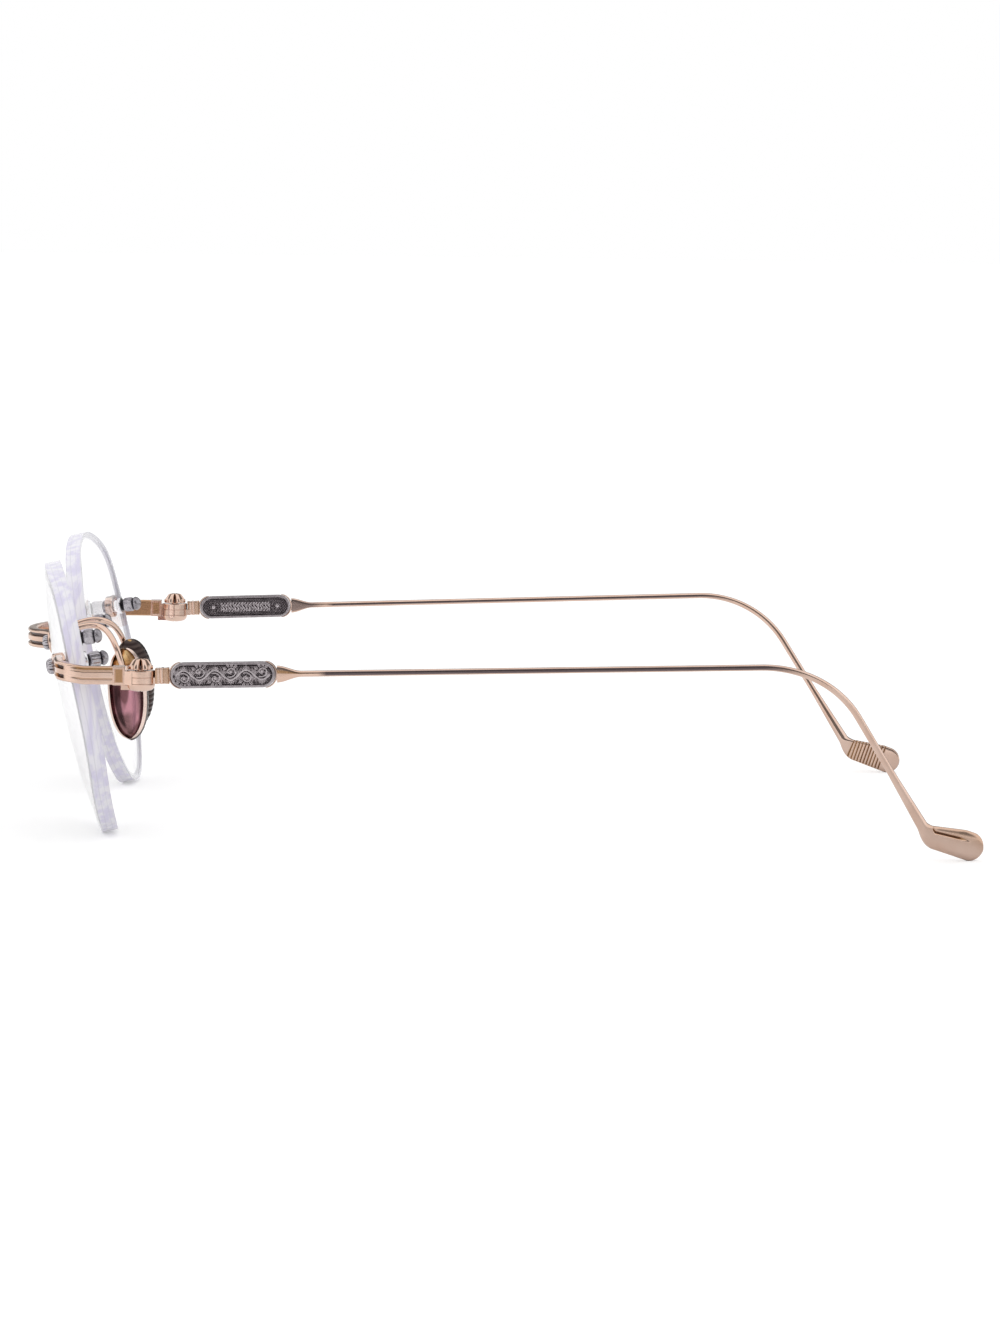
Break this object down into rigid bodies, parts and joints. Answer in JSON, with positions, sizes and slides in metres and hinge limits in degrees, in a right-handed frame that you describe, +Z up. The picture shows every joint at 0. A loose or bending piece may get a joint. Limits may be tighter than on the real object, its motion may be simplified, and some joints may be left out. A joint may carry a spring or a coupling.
{
  "type": "rimless sunglasses",
  "caption": "Rimless sunglasses with drilled lenses, rosette screws, lobed hinge caps, relief plaques on wire temples with paddle tips, and ridged metal nose pads.",
  "frame": {"origin": "on the ground under the middle of the pair, which stands open on its lens bottoms and temple tips", "axes": "+X towards the wearer's left, +Y from the lenses back along the temples, +Z up"},
  "size_m": [0.1476, 0.1524, 0.0435],
  "materials": {
    "rose_gold": "polished",
    "oxidised_silver": "antiqued",
    "lens_tint": "clear gloss",
    "clear_nylon": "satin"
  },
  "bodies": {
    "front": {"bridge": "rose_gold", "lens_left": "lens_tint", "lens_right": "lens_tint", "lens_bushing_nasal_left": "clear_nylon", "lens_bushing_nasal_right": "clear_nylon", "lens_bushing_temporal_left": "clear_nylon", "lens_bushing_temporal_right": "clear_nylon", "mount_screw_nasal_left": "oxidised_silver", "mount_screw_nasal_right": "oxidised_silver", "mount_screw_temporal_left": "oxidised_silver", "mount_screw_temporal_right": "oxidised_silver", "cap_nut_nasal_left": "oxidised_silver", "cap_nut_nasal_right": "oxidised_silver", "cap_nut_temporal_left": "oxidised_silver", "cap_nut_temporal_right": "oxidised_silver", "end_piece_left": "rose_gold", "end_piece_right": "rose_gold", "hinge_screw_left": "rose_gold", "hinge_screw_right": "rose_gold", "hinge_nut_left": "rose_gold", "hinge_nut_right": "rose_gold", "hinge_washer_upper_left": "clear_nylon", "hinge_washer_upper_right": "clear_nylon", "hinge_washer_lower_left": "clear_nylon", "hinge_washer_lower_right": "clear_nylon", "nose_pad_arm_left": "rose_gold", "nose_pad_arm_right": "rose_gold", "nose_pad_screw_left": "rose_gold", "nose_pad_screw_right": "rose_gold"},
    "temple_left": {"hinge_neck_left": "rose_gold", "plaque_left": "oxidised_silver", "temple_wire_left": "rose_gold"},
    "nose_pad_left": {"nose_pad_left": "rose_gold"},
    "temple_right": {"hinge_neck_right": "rose_gold", "plaque_right": "oxidised_silver", "temple_wire_right": "rose_gold"},
    "nose_pad_right": {"nose_pad_right": "rose_gold"}
  },
  "joints": [
    {"name": "temple_left_fold", "type": "hinge", "parent": "front", "child": "temple_left", "pos_m": [0.067, -0.05449, 0.02727], "axis": [0, 0, 1], "range_deg": [0, 90]},
    {"name": "temple_right_fold", "type": "hinge", "parent": "front", "child": "temple_right", "pos_m": [-0.067, -0.05449, 0.02727], "axis": [0, 0, -1], "range_deg": [0, 79]},
    {"name": "nose_pad_left_tilt", "type": "hinge", "parent": "front", "child": "nose_pad_left", "pos_m": [0.0095, -0.05957, 0.02305], "axis": [0.5, 0.8529, 0.1504], "range_deg": [-6, 6]},
    {"name": "nose_pad_right_tilt", "type": "hinge", "parent": "front", "child": "nose_pad_right", "pos_m": [-0.0095, -0.05957, 0.02305], "axis": [-0.5, 0.8529, 0.1504], "range_deg": [-6, 6]}
  ]
}
